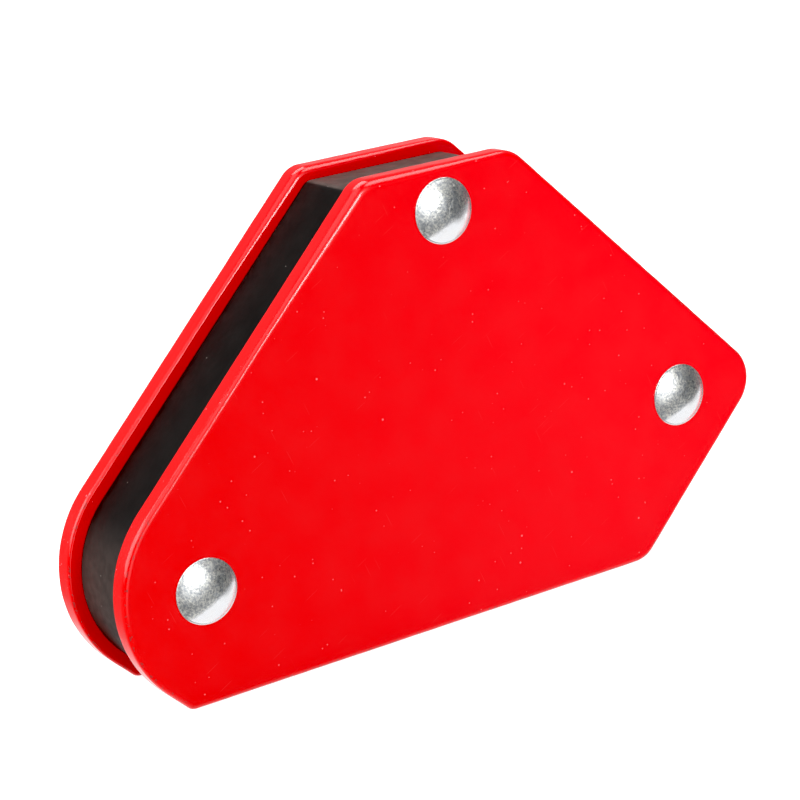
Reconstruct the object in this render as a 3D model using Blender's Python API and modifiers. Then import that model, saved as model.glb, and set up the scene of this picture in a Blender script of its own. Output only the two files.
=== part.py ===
"""Welding magnet holder: two painted steel plates riveted over a moulded core that holds ferrite blocks.

The holder stands on its long bottom edge. X runs along its length, Y through its thickness with the
front plate on the -Y side, and Z up. The origin is under the middle of the holder, where it stands.
"""

import math

import bmesh
import bpy

MM = 0.001

# Outline of the plates. Every slanted side is at 45 degrees, so these four sizes fix all six corners.
LENGTH = 65.2 * MM
HEIGHT = 40.0 * MM
LEFT_CORNER_HEIGHT = 9.5 * MM
RIGHT_CORNER_HEIGHT = 14.5 * MM

# Rounding of the corners, in the order that plate_corners() lists them.
TOP_LEFT_RADIUS = 2.4 * MM
TOP_RIGHT_RADIUS = 3.2 * MM
RIGHT_RADIUS = 3.4 * MM
BOTTOM_RIGHT_RADIUS = 2.8 * MM
BOTTOM_LEFT_RADIUS = 1.0 * MM
LEFT_RADIUS = 10.8 * MM

# The stack through the thickness.
THICKNESS = 12.0 * MM
PLATE_THICKNESS = 2.0 * MM
PLATE_EDGE_ROUNDING = 0.5 * MM
FIT_GAP = 0.3 * MM
CORE_INSET = 1.15 * MM
CORE_EDGE_ROUNDING = 0.25 * MM
CORE_THICKNESS = THICKNESS - 2 * PLATE_THICKNESS - 2 * FIT_GAP

# Three equal ferrite blocks stand side by side in pockets of the core.
BLOCK_WIDTH = 11.8 * MM
BLOCK_HEIGHT = 17.8 * MM
BLOCK_EDGE_ROUNDING = 0.3 * MM
BLOCK_PITCH = 13.5 * MM
BLOCK_ROW_CENTRE = -1.5 * MM
BLOCK_FOOT_HEIGHT = 3.6 * MM

# Three rivets, one near each end and one under the top edge.
SHANK_RADIUS = 1.6 * MM
HOLE_RADIUS = SHANK_RADIUS + FIT_GAP
HEAD_RADIUS = 2.8 * MM
HEAD_HEIGHT = 0.9 * MM
HEAD_LIP = 0.15 * MM
HEAD_DIMPLE_RADIUS = 0.35 * MM
HEAD_DIMPLE_DEPTH = 0.06 * MM
ROLL_RADIUS = 2.5 * MM
ROLL_HEIGHT = 0.9 * MM
ROLL_MOUTH_RADIUS = 0.9 * MM
ROLL_HOLE_DEPTH = 3.0 * MM
TOP_RIVET_DROP = 3.9 * MM
LEFT_RIVET_SETBACK = 7.5 * MM
LEFT_RIVET_HEIGHT = 9.8 * MM
RIGHT_RIVET_SETBACK = 8.3 * MM

ARC_STEP = math.radians(7.5)
TURN_STEPS = 32
HOLE_SIDES = 32
DOME_STEPS = 7
ROLL_STEPS = 8
QUARTER_TURN = math.radians(90)


def clear_scene():
    for obj in list(bpy.data.objects):
        bpy.data.objects.remove(obj, do_unlink=True)


def new_collection(name):
    collection = bpy.data.collections.new(name)
    bpy.context.scene.collection.children.link(collection)
    return collection


def new_material(name, colour, roughness, metallic):
    material = bpy.data.materials.new(name)
    material.use_nodes = True
    shader = material.node_tree.nodes["Principled BSDF"]
    shader.inputs["Base Color"].default_value = (*colour, 1.0)
    shader.inputs["Roughness"].default_value = roughness
    shader.inputs["Metallic"].default_value = metallic
    return material


# ---------------------------------------------------------------- outlines in the XZ plane


def plate_corners():
    """The six sharp corners of the plates as (x, z, radius), clockwise from the top left."""
    reach = math.sqrt(2) - 1
    left = -LENGTH / 2 - LEFT_RADIUS * reach
    right = LENGTH / 2 + RIGHT_RADIUS * reach
    return [
        (left + HEIGHT - LEFT_CORNER_HEIGHT, HEIGHT, TOP_LEFT_RADIUS),
        (right - HEIGHT + RIGHT_CORNER_HEIGHT, HEIGHT, TOP_RIGHT_RADIUS),
        (right, RIGHT_CORNER_HEIGHT, RIGHT_RADIUS),
        (right - RIGHT_CORNER_HEIGHT, 0.0, BOTTOM_RIGHT_RADIUS),
        (left + LEFT_CORNER_HEIGHT, 0.0, BOTTOM_LEFT_RADIUS),
        (left, LEFT_CORNER_HEIGHT, LEFT_RADIUS),
    ]


def corner_arc(before, corner, after, inset):
    """Points of the rounded corner, clockwise, moved inwards by the inset."""
    x, z, radius = corner
    into = math.atan2(z - before[1], x - before[0])
    out = math.atan2(after[1] - z, after[0] - x)
    turn = (into - out) % math.tau
    reach = radius / math.cos(turn / 2)
    inwards = into - turn / 2 - QUARTER_TURN
    centre_x = x + reach * math.cos(inwards)
    centre_z = z + reach * math.sin(inwards)
    steps = max(4, math.ceil(turn / ARC_STEP))
    arc_radius = radius - inset
    points = []
    for step in range(steps + 1):
        angle = into + QUARTER_TURN - turn * step / steps
        points.append((centre_x + arc_radius * math.cos(angle), centre_z + arc_radius * math.sin(angle)))
    return points


def rounded_outline(corners, inset=0.0):
    """The closed outline through the rounded corners. A corner too small for the inset gets a small arc."""
    smallest = inset + 0.4 * MM
    eased = [(x, z, max(radius, smallest)) for x, z, radius in corners]
    points = []
    for index, corner in enumerate(eased):
        points += corner_arc(eased[index - 1], corner, eased[(index + 1) % len(eased)], inset)
    return points


def rivet_places():
    """The centre of each rivet as name and (x, z)."""
    corners = plate_corners()
    top_middle = (corners[0][0] + corners[1][0]) / 2
    return {
        "top": (top_middle, HEIGHT - TOP_RIVET_DROP),
        "left": (-LENGTH / 2 + LEFT_RIVET_SETBACK, LEFT_RIVET_HEIGHT),
        "right": (LENGTH / 2 - RIGHT_RIVET_SETBACK, RIGHT_CORNER_HEIGHT),
    }


def block_places():
    """The centre of each ferrite block as name and (x, z)."""
    height = BLOCK_FOOT_HEIGHT + BLOCK_HEIGHT / 2
    names = ["left", "middle", "right"]
    return {name: (BLOCK_ROW_CENTRE + (index - 1) * BLOCK_PITCH, height) for index, name in enumerate(names)}


# ---------------------------------------------------------------- shapes


def flat_piece(name, outline, thickness, depth, collection):
    """A flat solid with this outline in XZ, centred on Y = depth."""
    curve = bpy.data.curves.new(name, "CURVE")
    curve.dimensions = "2D"
    curve.fill_mode = "BOTH"
    curve.extrude = thickness / 2
    spline = curve.splines.new("POLY")
    spline.points.add(len(outline) - 1)
    spline.use_cyclic_u = True
    for point, (x, z) in zip(spline.points, outline):
        point.co = (x, z, 0.0, 1.0)
    guide = bpy.data.objects.new(name + "_outline", curve)
    guide.rotation_euler.x = QUARTER_TURN
    guide.location.y = depth
    bpy.context.scene.collection.objects.link(guide)
    bpy.context.view_layer.update()

    evaluated = guide.evaluated_get(bpy.context.evaluated_depsgraph_get())
    mesh = bpy.data.meshes.new_from_object(evaluated)
    mesh.name = name
    weld_caps(mesh)
    piece = bpy.data.objects.new(name, mesh)
    piece.matrix_world = guide.matrix_world
    collection.objects.link(piece)
    bpy.data.objects.remove(guide)
    bpy.data.curves.remove(curve)
    return piece


def weld_caps(mesh):
    """Joins the caps of a filled curve to its sides."""
    work = bmesh.new()
    work.from_mesh(mesh)
    bmesh.ops.remove_doubles(work, verts=work.verts, dist=0.001 * MM)
    bmesh.ops.recalc_face_normals(work, faces=work.faces)
    work.to_mesh(mesh)
    work.free()


def round_edges(piece, width, segments):
    bevel = piece.modifiers.new("rounded_edges", "BEVEL")
    bevel.width = width
    bevel.segments = segments
    bevel.limit_method = "ANGLE"
    bevel.angle_limit = math.radians(40)


def cut(piece, cutter):
    boolean = piece.modifiers.new("cut_" + cutter.name, "BOOLEAN")
    boolean.operation = "DIFFERENCE"
    boolean.object = cutter


def box(name, place, size, collection):
    mesh = bpy.data.meshes.new(name)
    work = bmesh.new()
    bmesh.ops.create_cube(work, size=1.0)
    bmesh.ops.scale(work, vec=size, verts=work.verts)
    work.to_mesh(mesh)
    work.free()
    piece = bpy.data.objects.new(name, mesh)
    piece.location = (place[0], 0.0, place[1])
    collection.objects.link(piece)
    return piece


def hide_cutter(cutter):
    cutter.hide_render = True
    cutter.display_type = "WIRE"


def rivet_hole_cutter(name, place, collection):
    """A long cylinder along Y, wide enough for a rivet's shank."""
    mesh = bpy.data.meshes.new(name)
    work = bmesh.new()
    bmesh.ops.create_cone(
        work,
        cap_ends=True,
        segments=HOLE_SIDES,
        radius1=HOLE_RADIUS,
        radius2=HOLE_RADIUS,
        depth=2 * THICKNESS,
    )
    work.to_mesh(mesh)
    work.free()
    cutter = bpy.data.objects.new(name, mesh)
    cutter.location = (place[0], 0.0, place[1])
    cutter.rotation_euler.x = QUARTER_TURN
    collection.objects.link(cutter)
    hide_cutter(cutter)
    return cutter


def pocket_cutter(name, place, collection):
    """A block's pocket, which goes right through the core."""
    size = (BLOCK_WIDTH + 2 * FIT_GAP, 2 * THICKNESS, BLOCK_HEIGHT + 2 * FIT_GAP)
    cutter = box(name, place, size, collection)
    hide_cutter(cutter)
    return cutter


def dome_profile(seat):
    """The front head from its middle to its seat, with a small dimple left by the setting tool."""
    rise = HEAD_HEIGHT - HEAD_LIP
    ball = (HEAD_RADIUS**2 + rise**2) / (2 * rise)
    points = [(0.0, seat + HEAD_HEIGHT - HEAD_DIMPLE_DEPTH)]
    for step in range(DOME_STEPS + 1):
        radius = HEAD_DIMPLE_RADIUS + (HEAD_RADIUS - HEAD_DIMPLE_RADIUS) * step / DOME_STEPS
        height = HEAD_LIP + rise - ball + math.sqrt(ball**2 - radius**2)
        points.append((radius, seat + height))
    points.append((HEAD_RADIUS - HEAD_LIP / 2, seat))
    return points


def rolled_profile(seat):
    """The rear end, rolled outwards round its mouth, from its seat back up to the hole's blind end."""
    middle = (ROLL_RADIUS + ROLL_MOUTH_RADIUS) / 2
    half_width = (ROLL_RADIUS - ROLL_MOUTH_RADIUS) / 2
    points = [(ROLL_RADIUS - HEAD_LIP, -seat)]
    for step in range(ROLL_STEPS + 1):
        angle = math.pi * step / ROLL_STEPS
        drop = HEAD_LIP + (ROLL_HEIGHT - HEAD_LIP) * math.sin(angle)
        points.append((middle + half_width * math.cos(angle), -seat - drop))
    points.append((ROLL_MOUTH_RADIUS, -seat + ROLL_HOLE_DEPTH))
    points.append((0.0, -seat + ROLL_HOLE_DEPTH))
    return points


def rivet(name, place, collection):
    """A semi-tubular rivet along Y, domed head at the front and rolled end at the back."""
    seat = THICKNESS / 2 + FIT_GAP
    profile = dome_profile(seat) + [(SHANK_RADIUS, seat), (SHANK_RADIUS, -seat)] + rolled_profile(seat)
    mesh = bpy.data.meshes.new(name)
    edges = [(index, index + 1) for index in range(len(profile) - 1)]
    mesh.from_pydata([(x, 0.0, z) for x, z in profile], edges, [])
    piece = bpy.data.objects.new(name, mesh)
    piece.location = (place[0], 0.0, place[1])
    piece.rotation_euler.x = QUARTER_TURN
    collection.objects.link(piece)
    screw = piece.modifiers.new("turned", "SCREW")
    screw.axis = "Z"
    screw.steps = TURN_STEPS
    screw.render_steps = TURN_STEPS
    screw.use_merge_vertices = True
    screw.merge_threshold = 0.001 * MM
    screw.use_smooth_shade = True
    return piece


# ---------------------------------------------------------------- sub-parts


def make_plate(name, side, holes, material, collection):
    """A stamped plate with rolled edges. Side is -1 for the front and +1 for the rear."""
    depth = side * (THICKNESS - PLATE_THICKNESS) / 2
    plate = flat_piece(name, rounded_outline(plate_corners()), PLATE_THICKNESS, depth, collection)
    round_edges(plate, PLATE_EDGE_ROUNDING, 3)
    for hole in holes:
        cut(plate, hole)
    plate.data.materials.append(material)
    return plate


def make_core(holes, pockets, material, collection):
    """The moulded core between the plates, set back from their edges all round."""
    outline = rounded_outline(plate_corners(), CORE_INSET)
    core = flat_piece("spacer_core", outline, CORE_THICKNESS, 0.0, collection)
    round_edges(core, CORE_EDGE_ROUNDING, 2)
    for cutter in holes + pockets:
        cut(core, cutter)
    core.data.materials.append(material)
    return core


def make_ferrite_block(name, place, material, collection):
    size = (BLOCK_WIDTH, CORE_THICKNESS, BLOCK_HEIGHT)
    block = box(name, place, size, collection)
    round_edges(block, BLOCK_EDGE_ROUNDING, 1)
    block.data.materials.append(material)
    return block


def main():
    clear_scene()
    parts = new_collection("welding_magnet_holder")
    cutters = new_collection("cutters")

    paint = new_material("red_paint", (0.70, 0.004, 0.006), 0.28, 0.0)
    plastic = new_material("black_plastic", (0.020, 0.017, 0.017), 0.45, 0.0)
    ferrite = new_material("ferrite", (0.055, 0.055, 0.06), 0.6, 0.0)
    rivet_metal = new_material("rivet_aluminium", (0.78, 0.79, 0.80), 0.3, 1.0)

    holes = [rivet_hole_cutter(f"{name}_rivet_hole", place, cutters) for name, place in rivet_places().items()]
    pockets = [pocket_cutter(f"{name}_pocket", place, cutters) for name, place in block_places().items()]

    make_plate("front_plate", -1, holes, paint, parts)
    make_plate("rear_plate", 1, holes, paint, parts)
    make_core(holes, pockets, plastic, parts)
    for name, place in block_places().items():
        make_ferrite_block(f"{name}_ferrite_block", place, ferrite, parts)
    for name, place in rivet_places().items():
        rivet(f"{name}_rivet", place, parts).data.materials.append(rivet_metal)


main()
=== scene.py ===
import math

import bmesh
import bpy
from mathutils import Matrix, Vector, noise


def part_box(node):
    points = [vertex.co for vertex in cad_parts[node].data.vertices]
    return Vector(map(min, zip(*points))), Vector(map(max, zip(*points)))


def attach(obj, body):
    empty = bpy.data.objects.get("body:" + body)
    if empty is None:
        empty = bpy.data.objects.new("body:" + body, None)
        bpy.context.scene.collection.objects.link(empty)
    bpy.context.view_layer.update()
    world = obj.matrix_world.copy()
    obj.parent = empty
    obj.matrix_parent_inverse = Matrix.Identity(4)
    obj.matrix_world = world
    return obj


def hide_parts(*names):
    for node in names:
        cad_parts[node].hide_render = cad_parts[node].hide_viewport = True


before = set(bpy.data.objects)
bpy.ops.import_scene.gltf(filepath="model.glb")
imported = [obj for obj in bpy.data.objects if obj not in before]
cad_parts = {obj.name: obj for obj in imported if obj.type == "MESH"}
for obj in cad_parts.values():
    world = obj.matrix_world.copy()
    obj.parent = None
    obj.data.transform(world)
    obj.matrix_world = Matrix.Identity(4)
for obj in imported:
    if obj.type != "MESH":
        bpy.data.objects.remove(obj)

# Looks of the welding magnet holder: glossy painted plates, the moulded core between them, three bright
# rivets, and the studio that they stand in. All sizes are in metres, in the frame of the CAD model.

MM = 0.001
QUARTER_TURN = math.radians(90)

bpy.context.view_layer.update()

# ---------------------------------------------------------------- driving dimensions

FRONT_LOW, FRONT_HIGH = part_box("front_plate")
REAR_LOW, REAR_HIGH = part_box("rear_plate")
CORE_LOW, CORE_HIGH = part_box("spacer_core")

HEIGHT = FRONT_HIGH.z - FRONT_LOW.z
FRONT_FACE = FRONT_LOW.y
REAR_FACE = REAR_HIGH.y
PLATE_THICKNESS = FRONT_HIGH.y - FRONT_LOW.y
CORE_INSET = CORE_LOW.z - FRONT_LOW.z

# The heights and radii of the outline's corners, as the CAD plates have them.
LEFT_CORNER_HEIGHT = 9.5 * MM
RIGHT_CORNER_HEIGHT = 14.5 * MM
TOP_LEFT_RADIUS = 2.4 * MM
TOP_RIGHT_RADIUS = 3.2 * MM
RIGHT_RADIUS = 3.4 * MM
BOTTOM_RIGHT_RADIUS = 2.8 * MM
BOTTOM_LEFT_RADIUS = 1.0 * MM
LEFT_RADIUS = 10.8 * MM

# How a plate's section is rounded: both plates were stamped the same way round, so the soft roll is at the
# face towards the front, fuller near the top left corner, and a small one is at the other face.
FRONT_PLATE_ROLL = 0.48 * MM
REAR_PLATE_ROLL = 0.30 * MM
FULLER_ROLL = 0.38 * MM
FULLER_REACH = 15.0 * MM
BACK_ROLL = 0.18 * MM
ROLL_STEPS = 12
RIM_FLAT_STEPS = 4
FLAT_MARGIN = 0.2 * MM

BLOCK_NAMES = ("left_ferrite_block", "middle_ferrite_block", "right_ferrite_block")

ARC_STEP = math.radians(2)
SIDE_STEP = 0.35 * MM

HOLE_RADIUS = 1.65 * MM
HOLE_SIDES = 96


# ---------------------------------------------------------------- outlines in the XZ plane


def plate_corners():
    """The six sharp corners of the plates as (x, z, radius), clockwise from the top left."""
    reach = math.sqrt(2) - 1
    left = FRONT_LOW.x - LEFT_RADIUS * reach
    right = FRONT_HIGH.x + RIGHT_RADIUS * reach
    return [
        (left + HEIGHT - LEFT_CORNER_HEIGHT, HEIGHT, TOP_LEFT_RADIUS),
        (right - HEIGHT + RIGHT_CORNER_HEIGHT, HEIGHT, TOP_RIGHT_RADIUS),
        (right, RIGHT_CORNER_HEIGHT, RIGHT_RADIUS),
        (right - RIGHT_CORNER_HEIGHT, 0.0, BOTTOM_RIGHT_RADIUS),
        (left + LEFT_CORNER_HEIGHT, 0.0, BOTTOM_LEFT_RADIUS),
        (left, LEFT_CORNER_HEIGHT, LEFT_RADIUS),
    ]


def corner_arc(before, corner, after, inset):
    """The points of a rounded corner as (x, z, outward angle), clockwise, moved inwards by the inset."""
    x, z, radius = corner
    into = math.atan2(z - before[1], x - before[0])
    out = math.atan2(after[1] - z, after[0] - x)
    turn = (into - out) % math.tau
    reach = radius / math.cos(turn / 2)
    inwards = into - turn / 2 - QUARTER_TURN
    centre_x = x + reach * math.cos(inwards)
    centre_z = z + reach * math.sin(inwards)
    steps = math.ceil(turn / ARC_STEP)
    points = []
    for step in range(steps + 1):
        angle = into + QUARTER_TURN - turn * step / steps
        across = centre_x + (radius - inset) * math.cos(angle)
        up = centre_z + (radius - inset) * math.sin(angle)
        points.append((across, up, angle))
    return points


def corner_arcs(corners, inset):
    """Every rounded corner in turn, each as a list of points."""
    arcs = []
    for index, corner in enumerate(corners):
        after = corners[(index + 1) % len(corners)]
        arcs.append(corner_arc(corners[index - 1], corner, after, inset))
    return arcs


def side_points(start, end, steps):
    """Evenly spaced points between the end of one arc and the start of the next."""
    points = []
    for step in range(1, steps):
        share = step / steps
        x = start[0] + (end[0] - start[0]) * share
        z = start[1] + (end[1] - start[1]) * share
        points.append((x, z, start[2]))
    return points


def outline(corners, inset):
    """Points round the outline as (x, z, outward angle), with the same count at any inset."""
    full = corner_arcs(corners, 0.0)
    moved = corner_arcs(corners, inset)
    points = []
    for index, arc in enumerate(moved):
        following = (index + 1) % len(moved)
        straight = math.dist(full[index][-1][:2], full[following][0][:2])
        steps = max(1, round(straight / SIDE_STEP))
        points += arc
        points += side_points(arc[-1], moved[following][0], steps)
    return points


def rivet_places():
    """The centre of each rivet as name and (x, z), from the CAD rivets."""
    places = {}
    for name in ("top", "left", "right"):
        low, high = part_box(name + "_rivet")
        places[name] = ((low.x + high.x) / 2, (low.z + high.z) / 2)
    return places


# ---------------------------------------------------------------- mesh helpers


def ring_of(work, points, y):
    """New vertices at these points of the XZ plane, at this Y."""
    return [work.verts.new((x, y, z)) for x, z, _ in points]


def circle(place, radius, count):
    """Points round a circle as (x, z, outward angle)."""
    angles = [math.tau * step / count for step in range(count)]
    return [(place[0] + radius * math.cos(a), place[1] + radius * math.sin(a), a) for a in angles]


def loft(work, rings):
    """Joins each ring to the next one with four-sided faces."""
    for first, second in zip(rings, rings[1:]):
        for index in range(len(first)):
            after = (index + 1) % len(first)
            work.faces.new((first[index], first[after], second[after], second[index]))


def ring_edges(work, ring):
    """The edges round a ring, made where they are missing."""
    edges = []
    for index, vertex in enumerate(ring):
        other = ring[(index + 1) % len(ring)]
        edges.append(work.edges.get((vertex, other)) or work.edges.new((vertex, other)))
    return edges


def fill_flat(work, rings, facing):
    """Fills the flat area between an outer ring and the rings of the holes in it."""
    edges = [edge for ring in rings for edge in ring_edges(work, ring)]
    bmesh.ops.triangle_fill(work, use_beauty=True, edges=edges, normal=(0.0, facing, 0.0))


def hole_wall(work, points, front, back):
    """The wall of a hole between two Y positions, as its front ring and its back ring."""
    pair = (ring_of(work, points, front), ring_of(work, points, back))
    loft(work, pair)
    return pair


def rivet_holes(work, places, front, back):
    """The walls of the three rivet holes."""
    circles = [circle(place, HOLE_RADIUS, HOLE_SIDES) for place in places.values()]
    return [hole_wall(work, points, front, back) for points in circles]


def close_flat(work, rings, holes):
    """Fills the front and the back of a piece, all but its holes."""
    fill_flat(work, [rings[0]] + [front for front, _ in holes], -1.0)
    fill_flat(work, [rings[-1]] + [back for _, back in holes], 1.0)


SHARP_ANGLE = math.radians(40)


def finish_mesh(work, name):
    """Turns the finished bmesh into a smooth shaded object of this name."""
    bmesh.ops.recalc_face_normals(work, faces=work.faces)
    mesh = bpy.data.meshes.new(name)
    work.to_mesh(mesh)
    work.free()
    mesh.shade_smooth()
    mesh.set_sharp_from_angle(angle=SHARP_ANGLE)
    piece = bpy.data.objects.new(name, mesh)
    bpy.context.scene.collection.objects.link(piece)
    return piece


def hand_over(piece, node, material):
    """Gives a finished piece its material and its place in the frame."""
    piece.data.materials.append(material)
    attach(piece, "root")
    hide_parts(node)


# ---------------------------------------------------------------- plates

# The paint lies unevenly over the rolled edges: a slow wave with finer ripples on it, always inwards.
WAVE_LENGTH = 6.0 * MM
WAVE_HEIGHT = 0.03 * MM
RIPPLE_LENGTH = 1.3 * MM
RIPPLE_HEIGHT = 0.03 * MM


def roll_size(x, z, roll):
    """The radius of a plate's soft roll at this point of the outline."""
    corner_x, corner_z, _ = plate_corners()[0]
    share = max(0.0, 1 - math.hypot(x - corner_x, z - corner_z) / FULLER_REACH)
    return roll + FULLER_ROLL * share * share * (3 - 2 * share)


def plate_section(roll):
    """The plate's section at its edge as (inset, depth under the face with the soft roll)."""
    section = [(roll + FLAT_MARGIN, 0.0)]
    for step in range(ROLL_STEPS + 1):
        angle = QUARTER_TURN * step / ROLL_STEPS
        section.append((roll * (1 - math.sin(angle)), roll * (1 - math.cos(angle))))
    flat_end = PLATE_THICKNESS - BACK_ROLL
    for step in range(1, RIM_FLAT_STEPS):
        section.append((0.0, roll + (flat_end - roll) * step / RIM_FLAT_STEPS))
    for step in range(ROLL_STEPS + 1):
        angle = QUARTER_TURN * step / ROLL_STEPS
        section.append((BACK_ROLL * (1 - math.cos(angle)), flat_end + BACK_ROLL * math.sin(angle)))
    section.append((BACK_ROLL + FLAT_MARGIN, PLATE_THICKNESS))
    return section


def uneven(x, y, z):
    """How far the painted edge lies under its true outline here."""
    wave = noise.noise(Vector((x, 3 * y, z)) / WAVE_LENGTH)
    ripple = noise.noise(Vector((x, y, z)) / RIPPLE_LENGTH)
    return WAVE_HEIGHT * (0.5 + 0.5 * wave) + RIPPLE_HEIGHT * (0.5 + 0.5 * ripple)


def painted_edge(work, face, roll):
    """The rings of a plate's whole edge, with the unevenness of the paint, from its front to its back."""
    corners = plate_corners()
    rings = []
    for (x, z, angle), (inner_x, inner_z, _) in zip(outline(corners, 0.0), outline(corners, roll)):
        inwards_x = (inner_x - x) / roll
        inwards_z = (inner_z - z) / roll
        for index, (inset, depth) in enumerate(plate_section(roll_size(x, z, roll))):
            y = face + depth
            push = uneven(x, y, z)
            across = x + inwards_x * inset - push * math.cos(angle)
            up = z + inwards_z * inset - push * math.sin(angle)
            if index == len(rings):
                rings.append([])
            rings[index].append(work.verts.new((across, y, up)))
    return rings


def make_plate(name, face, roll, places, material):
    """A stamped plate with its front at the given Y and its edge rounded by the given roll."""
    work = bmesh.new()
    rings = painted_edge(work, face, roll)
    loft(work, rings)
    holes = rivet_holes(work, places, face, face + PLATE_THICKNESS)
    close_flat(work, rings, holes)
    plate = finish_mesh(work, name + "_painted")
    hand_over(plate, name, material)


# ---------------------------------------------------------------- core

CORE_EDGE = 0.18 * MM
CORE_EDGE_STEPS = 4
CORE_CLEARANCE = 0.01 * MM
LEAST_CORNER_RADIUS = CORE_INSET + 0.5 * MM
POCKET_MARGIN = 0.1 * MM


def core_corners():
    """The plate's corners, with the small ones eased so that they can be moved inwards."""
    return [(x, z, max(radius, LEAST_CORNER_RADIUS)) for x, z, radius in plate_corners()]


def core_section(front):
    """The core's section at its edge as (inset, y), rounded at the front and the same at the rear."""
    half = [(CORE_INSET + CORE_EDGE + FLAT_MARGIN, front)]
    for step in range(CORE_EDGE_STEPS + 1):
        angle = QUARTER_TURN * step / CORE_EDGE_STEPS
        inset = CORE_INSET + CORE_EDGE * (1 - math.sin(angle))
        half.append((inset, front + CORE_EDGE * (1 - math.cos(angle))))
    return half + [(inset, -y) for inset, y in reversed(half)]


def pocket_outline(low, high):
    """The corners of the pocket round a ferrite block with this box, as (x, z, outward angle)."""
    left = low.x - POCKET_MARGIN
    right = high.x + POCKET_MARGIN
    foot = low.z - POCKET_MARGIN
    top = high.z + POCKET_MARGIN
    return [(left, foot, 0.0), (right, foot, 0.0), (right, top, 0.0), (left, top, 0.0)]


def make_core(places, material):
    """The moulded core, set back from the plates' edges, with pockets for the ferrite blocks."""
    work = bmesh.new()
    front = FRONT_HIGH.y + CORE_CLEARANCE
    rear = REAR_LOW.y - CORE_CLEARANCE
    corners = core_corners()
    rings = [ring_of(work, outline(corners, inset), y) for inset, y in core_section(front)]
    loft(work, rings)
    holes = rivet_holes(work, places, front, rear)
    for name in BLOCK_NAMES:
        points = pocket_outline(*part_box(name))
        holes.append(hole_wall(work, points, front, rear))
    close_flat(work, rings, holes)
    core = finish_mesh(work, "spacer_core_moulded")
    hand_over(core, "spacer_core", material)


# ---------------------------------------------------------------- rivets

TURN_STEPS = 240
SHANK_RADIUS = 1.6 * MM

# The head is a piece of a ball with a rounded rim, a lip's height over the plate.
HEAD_RADIUS = 2.8 * MM
DOME_BALL = 4.9 * MM
DOME_STEPS = 48
LIP = 0.10 * MM
HEAD_RIM = 0.15 * MM
RIM_STEPS = 8
RIM_FOOT = 0.04 * MM

# The rear end is curled outwards round the mouth of a blind bore.
CURL_RADIUS = 2.5 * MM
CURL_HEIGHT = 0.9 * MM
CURL_FOOT_HEIGHT = 0.1 * MM
CURL_FOOT_INSET = 0.2 * MM
CURL_STEPS = 24
BORE_RADIUS = 0.9 * MM
BORE_STEP_DEPTH = 1.0 * MM
BORE_DEPTH = 3.0 * MM

# The bright crescent of a head, a painted reflection of the pale floor, starts this far from its middle
# towards its lower right.
CRESCENT_RIGHT = 0.5
CRESCENT_DOWN = 0.87
CRESCENT_START = 0.95 * MM
CRESCENT_FADE = 0.3 * MM

# The marks fade out towards the head's rim over this width.
MARK_FADE = 0.5 * MM

# The marks on the heads, as bare millimetres: heights, and the ring that the setting tool left.
LUMP_HEIGHT = 0.010
SMALL_LUMP_HEIGHT = 0.0030
PIT_HEIGHT = 0.0075
RING_DEPTH = 0.007
RING_CENTRE = Vector((0.42, 0.10))
RING_RADIUS = 0.44
RING_WIDTH = 0.08


def dome_height(radius):
    """Height of the head over the plate at this radius, before the marks on it."""
    edge = math.sqrt(DOME_BALL**2 - (HEAD_RADIUS - HEAD_RIM) ** 2)
    return LIP + math.sqrt(DOME_BALL**2 - radius**2) - edge


def scuffs_and_painted_reflection(across, up):
    """1 over most of the head, which is scuffed and painted darker as a painted reflection, 0 in a bright
    crescent at its lower right, a painted reflection of the floor.
    """
    towards_crescent = CRESCENT_RIGHT * across - CRESCENT_DOWN * up
    return min(1.0, max(0.0, (CRESCENT_START - towards_crescent) / CRESCENT_FADE))


def head_marks(across, up, seed):
    """How far the pressed head is pushed in or out: a shallow ring mark, slow lumps and fine pitting."""
    where = Vector((across / MM, up / MM, seed))
    lumps = LUMP_HEIGHT * noise.noise(where * 0.6) + SMALL_LUMP_HEIGHT * noise.noise(where * 2.2)
    pits = PIT_HEIGHT * noise.noise(where * 4.5) * scuffs_and_painted_reflection(across, up)
    from_centre = (Vector((across / MM, up / MM)) - RING_CENTRE).length
    ring = -RING_DEPTH * math.exp(-((from_centre - RING_RADIUS) / RING_WIDTH) ** 2)
    edge_fade = min(1.0, max(0.0, (HEAD_RADIUS - math.hypot(across, up)) / MARK_FADE))
    return (lumps + pits + ring) * MM * edge_fade


def rivet_profile():
    """The rivet's profile from the middle of the head to the blind end of its bore, as (radius, y)."""
    points = []
    dome_edge = HEAD_RADIUS - HEAD_RIM
    for step in range(DOME_STEPS + 1):
        radius = dome_edge * math.sin(QUARTER_TURN * step / DOME_STEPS)
        points.append((radius, FRONT_FACE - dome_height(radius)))
    edge_height = dome_height(dome_edge)
    for step in range(1, RIM_STEPS + 1):
        angle = QUARTER_TURN * step / RIM_STEPS
        height = edge_height - (edge_height - RIM_FOOT) * (1 - math.cos(angle))
        points.append((dome_edge + HEAD_RIM * math.sin(angle), FRONT_FACE - height))
    points.append((HEAD_RADIUS - RIM_FOOT, FRONT_FACE))
    points.append((SHANK_RADIUS, FRONT_FACE))
    points.append((SHANK_RADIUS, REAR_FACE))
    points.append((CURL_RADIUS - CURL_FOOT_INSET, REAR_FACE))
    middle = (CURL_RADIUS + BORE_RADIUS) / 2
    half_width = (CURL_RADIUS - BORE_RADIUS) / 2
    for step in range(CURL_STEPS + 1):
        angle = math.pi * step / CURL_STEPS
        rise = CURL_FOOT_HEIGHT + (CURL_HEIGHT - CURL_FOOT_HEIGHT) * math.sin(angle)
        points.append((middle + half_width * math.cos(angle), REAR_FACE + rise))
    points.append((BORE_RADIUS, REAR_FACE - BORE_STEP_DEPTH))
    points.append((BORE_RADIUS, REAR_FACE - BORE_DEPTH))
    return points


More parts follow.
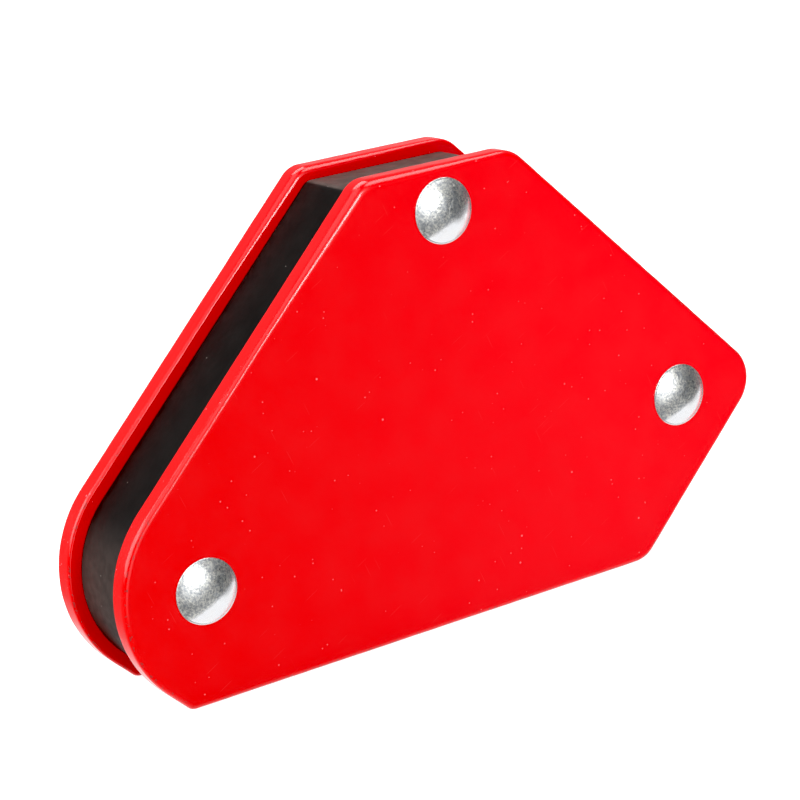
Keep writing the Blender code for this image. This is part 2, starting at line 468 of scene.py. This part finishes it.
def make_rivet(name, place, seed, material):
    """A semi-tubular rivet: a domed head with the marks of its setting tool, and a rolled rear end."""
    work = bmesh.new()
    rings = []
    profile = rivet_profile()
    for index, (radius, depth) in enumerate(profile[1:], start=1):
        ring = []
        for x, z, _ in circle((0.0, 0.0), radius, TURN_STEPS):
            push = head_marks(x, z, seed) if index <= DOME_STEPS else 0.0
            ring.append(work.verts.new((place[0] + x, depth - push, place[1] + z)))
        rings.append(ring)
    loft(work, rings)
    tip = work.verts.new((place[0], profile[0][1] - head_marks(0.0, 0.0, seed), place[1]))
    end = work.verts.new((place[0], profile[-1][1], place[1]))
    for index in range(TURN_STEPS):
        after = (index + 1) % TURN_STEPS
        work.faces.new((tip, rings[0][index], rings[0][after]))
        work.faces.new((end, rings[-1][after], rings[-1][index]))
    rivet = finish_mesh(work, name + "_rivet_set")
    # Painted reflection: each point gets 1 where the head is scuffed and painted darker, 0 in the bright
    # crescent at its lower right.
    scuffs_and_reflection = rivet.data.attributes.new("scuffs_and_painted_reflection", "FLOAT", "POINT")
    for vertex, scuff_and_reflection in zip(rivet.data.vertices, scuffs_and_reflection.data):
        scuff_and_reflection.value = scuffs_and_painted_reflection(vertex.co.x - place[0], vertex.co.z - place[1])
    hand_over(rivet, name + "_rivet", material)


# ---------------------------------------------------------------- materials


class Shader:
    """Short names for the nodes that the materials are built from."""

    def __init__(self, name):
        self.material = bpy.data.materials.new(name)
        self.material.use_nodes = True
        self.tree = self.material.node_tree
        self.surface = self.tree.nodes["Principled BSDF"]
        self.place = self.tree.nodes.new("ShaderNodeTexCoord").outputs["Object"]

    @classmethod
    def for_world(cls, world):
        shader = cls.__new__(cls)
        shader.tree = world.node_tree
        return shader

    def node(self, kind, inputs=(), **settings):
        made = self.tree.nodes.new("ShaderNode" + kind)
        for key, value in settings.items():
            setattr(made, key, value)
        for key, value in dict(inputs).items():
            self.feed(made.inputs[key], value)
        return made

    def feed(self, socket, value):
        if isinstance(value, bpy.types.NodeSocket):
            self.tree.links.new(value, socket)
        else:
            socket.default_value = value

    def set(self, **inputs):
        for key, value in inputs.items():
            self.feed(self.surface.inputs[key.replace("_", " ")], value)

    def noise(self, size, detail=2.0, roughness=0.5):
        """Smooth noise from 0 to 1 whose features are about this size across."""
        inputs = {"Vector": self.place, "Scale": 1.0 / size, "Detail": detail, "Roughness": roughness}
        return self.node("TexNoise", inputs).outputs["Fac"]

    def span(self, value, low, high, to_low=0.0, to_high=1.0):
        """Maps low..high smoothly to to_low..to_high, and holds the ends."""
        inputs = {"Value": value, "From Min": low, "From Max": high, "To Min": to_low, "To Max": to_high}
        return self.node("MapRange", inputs, interpolation_type="SMOOTHSTEP").outputs["Result"]

    def math(self, operation, first, second=0.0):
        made = self.node("Math", operation=operation)
        self.feed(made.inputs[0], first)
        self.feed(made.inputs[1], second)
        return made.outputs[0]

    def blend(self, share, first, second):
        """The first colour where share is 0, the second where it is 1."""
        made = self.node("Mix", data_type="RGBA")
        self.feed(made.inputs["Factor"], share)
        self.feed(made.inputs["A"], first)
        self.feed(made.inputs["B"], second)
        return made.outputs["Result"]

    def bump(self, height, distance, strength=1.0, under=None):
        inputs = {"Height": height, "Distance": distance, "Strength": strength}
        if under is not None:
            inputs["Normal"] = under
        return self.node("Bump", inputs).outputs["Normal"]


def colour(red, green, blue):
    return (red, green, blue, 1.0)


def depth_band(shader, y, face, fade_in, fade_out):
    """1 in a band of depths under a plate's front face, 0 outside it. Each fade is a pair of depths."""
    start = shader.span(y, face + fade_in[0], face + fade_in[1])
    end = shader.span(y, face + fade_out[0], face + fade_out[1], 1.0, 0.0)
    return shader.math("MULTIPLY", start, end)


def edge_mask(shader, y):
    """1 where the plates' soft rolls meet their front faces, 0 elsewhere, from the Y position."""
    front = depth_band(shader, y, FRONT_LOW.y, (0.005 * MM, 0.025 * MM), (0.14 * MM, 0.20 * MM))
    rear = depth_band(shader, y, REAR_LOW.y, (0.005 * MM, 0.020 * MM), (0.11 * MM, 0.15 * MM))
    return shader.math("MAXIMUM", front, rear)


def spots(shader, spacing, radius, share, place=None):
    """1 inside sparse round spots, 0 elsewhere. Share is the part of the cells that has one."""
    cells = shader.node("TexVoronoi", {"Vector": place or shader.place, "Scale": 1 / spacing})
    near = shader.span(cells.outputs["Distance"], 0.6 * radius / spacing, radius / spacing, 1.0, 0.0)
    pick = shader.node("SeparateColor", {"Color": cells.outputs["Color"]}).outputs["Red"]
    return shader.math("MULTIPLY", near, shader.span(pick, 1 - share, 1 - 0.8 * share))


HAIRLINE_STRETCH = (1.0, 1.0, 45.0)


def scratches(shader, angle, share):
    """Sparse short hairlines in the face, all at about one angle."""
    turned = shader.node("VectorRotate", {"Vector": shader.place, "Angle": angle}, rotation_type="Y_AXIS")
    scaling = {0: turned.outputs["Vector"], 1: HAIRLINE_STRETCH}
    drawn = shader.node("VectorMath", scaling, operation="MULTIPLY")
    return spots(shader, 2.6 * MM, 0.9 * MM, share, drawn.outputs["Vector"])


def red_enamel(shader, x):
    """The plain paint, a little cloudy, with painted light: darker at the left and brighter and pinker at
    the right.
    """
    deep = colour(0.522, 0.0002, 0.0004)
    bright = colour(0.628, 0.0045, 0.0090)
    # Painted light: the base colour darkens towards the left and brightens and turns pinker towards the
    # right, where the face is lit more.
    fade = shader.span(x, -32 * MM, 32 * MM)
    cloudy = shader.math("MULTIPLY", shader.noise(9 * MM, detail=3), 0.2)
    return shader.blend(shader.math("ADD", fade, cloudy), deep, bright)


def paint_dust(shader):
    """1 in the dust under the gloss: single grains everywhere, and fine specks in clusters."""
    clusters = shader.span(shader.noise(4 * MM, detail=2), 0.42, 0.56)
    specks = shader.math("MULTIPLY", spots(shader, 0.60 * MM, 0.065 * MM, 0.30), clusters)
    return shader.math("MAXIMUM", spots(shader, 2.1 * MM, 0.10 * MM, 0.4), specks)


def paint_normal(shader):
    """Faint orange peel over a slow unevenness."""
    peel = shader.bump(shader.noise(0.9 * MM, detail=2), 0.002 * MM)
    return shader.bump(shader.noise(5 * MM, detail=1), 0.008 * MM, under=peel)


def paint_material():
    """Gloss red enamel with dust under the gloss, hairlines, and rubbed and chipped edges."""
    shader = Shader("red_paint")
    parts = shader.node("SeparateXYZ", {"Vector": shader.place})
    edge = edge_mask(shader, parts.outputs["Y"])
    low_down = shader.span(parts.outputs["Z"], 36 * MM, 10 * MM, 0.15, 1.0)

    dust = paint_dust(shader)
    hairlines = shader.math("MAXIMUM", scratches(shader, 0.5, 0.008), scratches(shader, -1.2, 0.005))
    patches = shader.span(shader.noise(0.3 * MM, detail=3), 0.56, 0.61)
    worn = shader.math("MULTIPLY", patches, shader.math("MULTIPLY", edge, low_down))
    chips = shader.math("MULTIPLY", spots(shader, 2.2 * MM, 0.15 * MM, 0.22), edge)

    base = red_enamel(shader, parts.outputs["X"])
    base = shader.blend(shader.math("MULTIPLY", dust, 0.6), base, colour(0.95, 0.25, 0.28))
    base = shader.blend(shader.math("MULTIPLY", hairlines, 0.05), base, colour(0.95, 0.3, 0.3))
    base = shader.blend(shader.math("MULTIPLY", worn, 0.6), base, colour(0.10, 0.004, 0.004))
    base = shader.blend(chips, base, colour(0.05, 0.02, 0.015))

    rough = shader.span(shader.noise(3 * MM, detail=4), 0.3, 0.7, 0.15, 0.19)
    rough = shader.math("ADD", rough, shader.math("MULTIPLY", worn, 0.18))
    rough = shader.math("ADD", rough, shader.math("MULTIPLY", chips, 0.4))
    shader.set(Base_Color=base, Roughness=rough, Normal=paint_normal(shader))
    return shader.material


def core_painted_sheen(shader):
    """How strongly a pale brown painted sheen lightens the core: on its round left end and on its top
    side, where light catches it.
    """
    parts = shader.node("SeparateXYZ", {"Vector": shader.place})
    left_end = shader.span(parts.outputs["X"], CORE_LOW.x + 2.45 * MM, CORE_LOW.x - 4.05 * MM)
    top_start = CORE_HIGH.z - 0.16 * MM
    top_side = shader.span(parts.outputs["Z"], top_start, CORE_HIGH.z - 0.04 * MM, 0.0, 0.5)
    streaks = shader.span(shader.noise(0.8 * MM, detail=4), 0.3, 0.7, 0.7, 1.0)
    return shader.math("MULTIPLY", shader.math("MAXIMUM", left_end, top_side), streaks)


def core_material():
    """Satin black moulding with dust in its grain, and a painted sheen on its round left end and its top
    side.
    """
    shader = Shader("black_plastic")
    grain = shader.noise(2 * MM, detail=4)
    base = shader.blend(grain, colour(0.0065, 0.006, 0.006), colour(0.0120, 0.0110, 0.0105))
    # Painted sheen: pale brown on the round left end and the top side, standing in for the light that the
    # moulding catches there.
    base = shader.blend(core_painted_sheen(shader), base, colour(0.14, 0.105, 0.095))
    dust = shader.math("MULTIPLY", spots(shader, 1.4 * MM, 0.07 * MM, 0.5), 0.5)
    base = shader.blend(dust, base, colour(0.30, 0.26, 0.24))
    rough = shader.span(shader.noise(1.2 * MM, detail=4), 0.3, 0.7, 0.36, 0.48)
    normal = shader.bump(shader.noise(0.25 * MM, detail=3), 0.003 * MM)
    normal = shader.bump(shader.noise(3 * MM, detail=2), 0.02 * MM, under=normal)
    shader.set(Base_Color=base, Roughness=rough, Normal=normal)
    shader.surface.inputs["Specular IOR Level"].default_value = 0.06
    return shader.material


# A little less than pure metal, because fine scratches scatter some of the light.
RIVET_METAL = 0.945


def rivet_material():
    """Bright pressed metal, finely speckled, its scuffed parts duller and painted darker, with a painted
    reflection as a bright crescent at the lower right.
    """
    shader = Shader("rivet_aluminium")
    # Painted reflection: the darker, bluish blotched rest of the head and the pale bluish crescent stand
    # in for reflections in the dome. The fine speckle is the metal's own.
    scuffs_and_reflection = shader.node("Attribute", attribute_name="scuffs_and_painted_reflection").outputs["Fac"]
    mottle = shader.span(shader.noise(0.19 * MM, detail=5, roughness=0.75), 0.42, 0.58)
    scuffed_and_painted_dark = shader.blend(mottle, colour(0.42, 0.44, 0.46), colour(0.86, 0.86, 0.81))
    blotches = shader.span(shader.noise(0.9 * MM, detail=3), 0.48, 0.62, 0.0, 0.35)
    scuffed_and_painted_dark = shader.blend(blotches, scuffed_and_painted_dark, colour(0.36, 0.40, 0.46))
    cloudy = shader.noise(0.8 * MM, detail=3)
    painted_crescent = shader.blend(cloudy, colour(0.88, 0.90, 0.94), colour(0.94, 0.94, 0.94))
    base = shader.blend(scuffs_and_reflection, painted_crescent, scuffed_and_painted_dark)
    rough = shader.span(shader.noise(0.4 * MM, detail=4), 0.3, 0.7, 0.13, 0.25)
    rough = shader.math("ADD", rough, shader.math("MULTIPLY", scuffs_and_reflection, 0.14))
    normal = shader.bump(shader.noise(0.20 * MM, detail=4, roughness=0.65), 0.004 * MM)
    shader.set(Base_Color=base, Roughness=rough, Normal=normal)
    shader.surface.inputs["Metallic"].default_value = RIVET_METAL
    return shader.material


def ferrite_material():
    """Ground dark grey ferrite with fine pores."""
    shader = Shader("ferrite")
    grain = shader.noise(0.12 * MM, detail=4, roughness=0.7)
    tone = shader.span(grain, 0.35, 0.65)
    base = shader.blend(tone, colour(0.035, 0.035, 0.038), colour(0.085, 0.085, 0.09))
    rough = shader.span(shader.noise(0.6 * MM, detail=3), 0.3, 0.7, 0.5, 0.75)
    normal = shader.bump(grain, 0.01 * MM)
    shader.set(Base_Color=base, Roughness=rough, Normal=normal)
    return shader.material


def floor_material():
    """Pale board that glows a little, so that it stays as white as the background."""
    shader = Shader("studio_floor")
    tone = shader.noise(0.2, detail=2)
    base = shader.blend(tone, colour(0.40, 0.40, 0.40), colour(0.42, 0.42, 0.42))
    shader.set(Base_Color=base, Roughness=0.9)
    shader.surface.inputs["Specular IOR Level"].default_value = 0.1
    shader.surface.inputs["Emission Color"].default_value = colour(1.0, 1.0, 1.0)
    shader.surface.inputs["Emission Strength"].default_value = 0.85
    return shader.material


# ---------------------------------------------------------------- studio

CAMERA_AZIMUTH = math.radians(31.553)
CAMERA_ELEVATION = math.radians(16.353)
CAMERA_ROLL = math.radians(-5.716)
CAMERA_DISTANCE = 217.38 * MM
CAMERA_AIM = Vector((-1.372 * MM, 0.0, 19.048 * MM))
CAMERA_LENS = 113.25
SENSOR_WIDTH = 36.0
FLOOR_REACH = 4.0
BLACK_POINT = 0.020


def place_camera():
    """The camera stands to the left of the front and a little above, tipped to its right."""
    az, el, roll = CAMERA_AZIMUTH, CAMERA_ELEVATION, CAMERA_ROLL
    forward = Vector((math.sin(az) * math.cos(el), math.cos(az) * math.cos(el), -math.sin(el)))
    level_right = Vector((math.cos(az), -math.sin(az), 0.0))
    level_up = level_right.cross(forward)
    right = level_right * math.cos(roll) + level_up * math.sin(roll)
    up = right.cross(forward)
    camera_data = bpy.data.cameras.new("camera")
    camera_data.lens = CAMERA_LENS
    camera_data.sensor_width = SENSOR_WIDTH
    camera_data.clip_start = 0.01
    camera_data.clip_end = 20.0
    camera = bpy.data.objects.new("camera", camera_data)
    turn = Matrix((right, up, -forward)).transposed().to_4x4()
    camera.matrix_world = Matrix.Translation(CAMERA_AIM - forward * CAMERA_DISTANCE) @ turn
    bpy.context.scene.collection.objects.link(camera)
    bpy.context.scene.camera = camera


def soft_light(name, azimuth, elevation, distance, width, height, radiance):
    """A rectangular softbox aimed at the holder. Azimuth 0 is in front of it, and 90 to its right."""
    direction = toward(azimuth, elevation)
    data = bpy.data.lights.new(name, "AREA")
    data.shape = "RECTANGLE"
    data.size = width
    data.size_y = height
    data.energy = radiance * math.pi * width * height
    light = bpy.data.objects.new(name, data)
    light.location = CAMERA_AIM + direction * distance
    light.rotation_euler = (-direction).to_track_quat("-Z", "Y").to_euler()
    light.visible_camera = False
    bpy.context.scene.collection.objects.link(light)


def make_floor():
    """The pale floor. Shiny surfaces don't reflect it: they see the studio's light instead."""
    work = bmesh.new()
    bmesh.ops.create_grid(work, x_segments=4, y_segments=4, size=FLOOR_REACH)
    mesh = bpy.data.meshes.new("studio_floor")
    work.to_mesh(mesh)
    work.free()
    floor = bpy.data.objects.new("studio_floor", mesh)
    floor.data.materials.append(floor_material())
    floor.visible_glossy = False
    bpy.context.scene.collection.objects.link(floor)


def toward(azimuth, elevation):
    """The direction at these angles. Azimuth 0 is in front of the holder, and 90 to its right."""
    az, el = math.radians(azimuth), math.radians(elevation)
    return Vector((math.sin(az) * math.cos(el), -math.cos(az) * math.cos(el), math.sin(el)))


WORLD_LEVEL = 0.30

# Pale patches of the studio as (direction, cosine where it starts, cosine where it is full, strength).
WORLD_PATCHES = [
    (Vector((0.45, 0.10, -0.89)), 0.65, 0.70, 0.48),
    (Vector((0.45, 0.10, -0.89)), 0.45, 0.65, 0.20),
    (toward(-4, 16), 0.76, 1.0, 0.8),
    (toward(-16, -6), 0.940, 0.975, 0.9),
    (toward(158, -20), 0.80, 0.96, 0.5),
    (toward(180, -60), 0.72, 0.90, 0.45),
    (toward(-160, 35), 0.70, 0.95, 0.10),
]

# The dark side of the studio, the same way, with the part of the light that is left there.
WORLD_SHADE = (toward(58, -2), 0.82, 0.97, 0.35)


def make_world():
    """The studio round the holder: mid grey with pale patches, and dark to the right."""
    world = bpy.data.worlds.new("studio")
    world.use_nodes = True
    shader = Shader.for_world(world)
    direction = shader.tree.nodes.new("ShaderNodeTexCoord").outputs["Generated"]

    def facing(goal, low, high):
        across = shader.node("VectorMath", operation="DOT_PRODUCT")
        shader.feed(across.inputs[0], direction)
        across.inputs[1].default_value = goal
        return shader.span(across.outputs["Value"], low, high)

    light = WORLD_LEVEL
    for goal, low, high, strength in WORLD_PATCHES:
        light = shader.math("ADD", light, shader.math("MULTIPLY", facing(goal, low, high), strength))
    goal, low, high, least = WORLD_SHADE
    light = shader.math("MULTIPLY", light, shader.span(facing(goal, low, high), 0.0, 1.0, 1.0, least))
    background = world.node_tree.nodes["Background"]
    background.inputs["Color"].default_value = colour(1.0, 1.0, 1.0)
    shader.feed(background.inputs["Strength"], light)
    bpy.context.scene.world = world


# Each softbox as (name, azimuth, elevation, distance, width, height, radiance), in degrees and metres.
SOFTBOXES = [
    ("key_softbox", -3, 20, 0.70, 0.50, 0.34, 1.0),
    ("key_core", -3, 21, 0.69, 0.17, 0.15, 17.5),
    ("right_softbox", 58, 58, 0.70, 0.50, 0.25, 5.0),
    ("left_softbox", -70, 50, 0.70, 0.65, 0.60, 1.6),
    ("low_left_softbox", -106, 25, 0.70, 1.00, 0.45, 3.9),
    ("overhead_softbox", 180, 72, 0.70, 0.50, 0.50, 5.5),
]


def set_view():
    """Plain tones, with a black point that keeps the shadows and the red deep."""
    view = bpy.context.scene.view_settings
    view.view_transform = "Standard"
    view.use_curve_mapping = True
    view.curve_mapping.black_level = (BLACK_POINT, BLACK_POINT, BLACK_POINT)
    view.curve_mapping.update()


def make_studio():
    make_floor()
    make_world()
    for softbox in SOFTBOXES:
        soft_light(*softbox)
    set_view()


# ---------------------------------------------------------------- the holder


def make_holder():
    places = rivet_places()
    paint = paint_material()
    metal = rivet_material()
    make_plate("front_plate", FRONT_LOW.y, FRONT_PLATE_ROLL, places, paint)
    make_plate("rear_plate", REAR_LOW.y, REAR_PLATE_ROLL, places, paint)
    make_core(places, core_material())
    for seed, (name, place) in enumerate(places.items(), start=1):
        make_rivet(name, place, 10.0 * seed, metal)
    ferrite = ferrite_material()
    for name in BLOCK_NAMES:
        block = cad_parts[name]
        block.data.materials.clear()
        block.data.materials.append(ferrite)


make_holder()
make_studio()
place_camera()
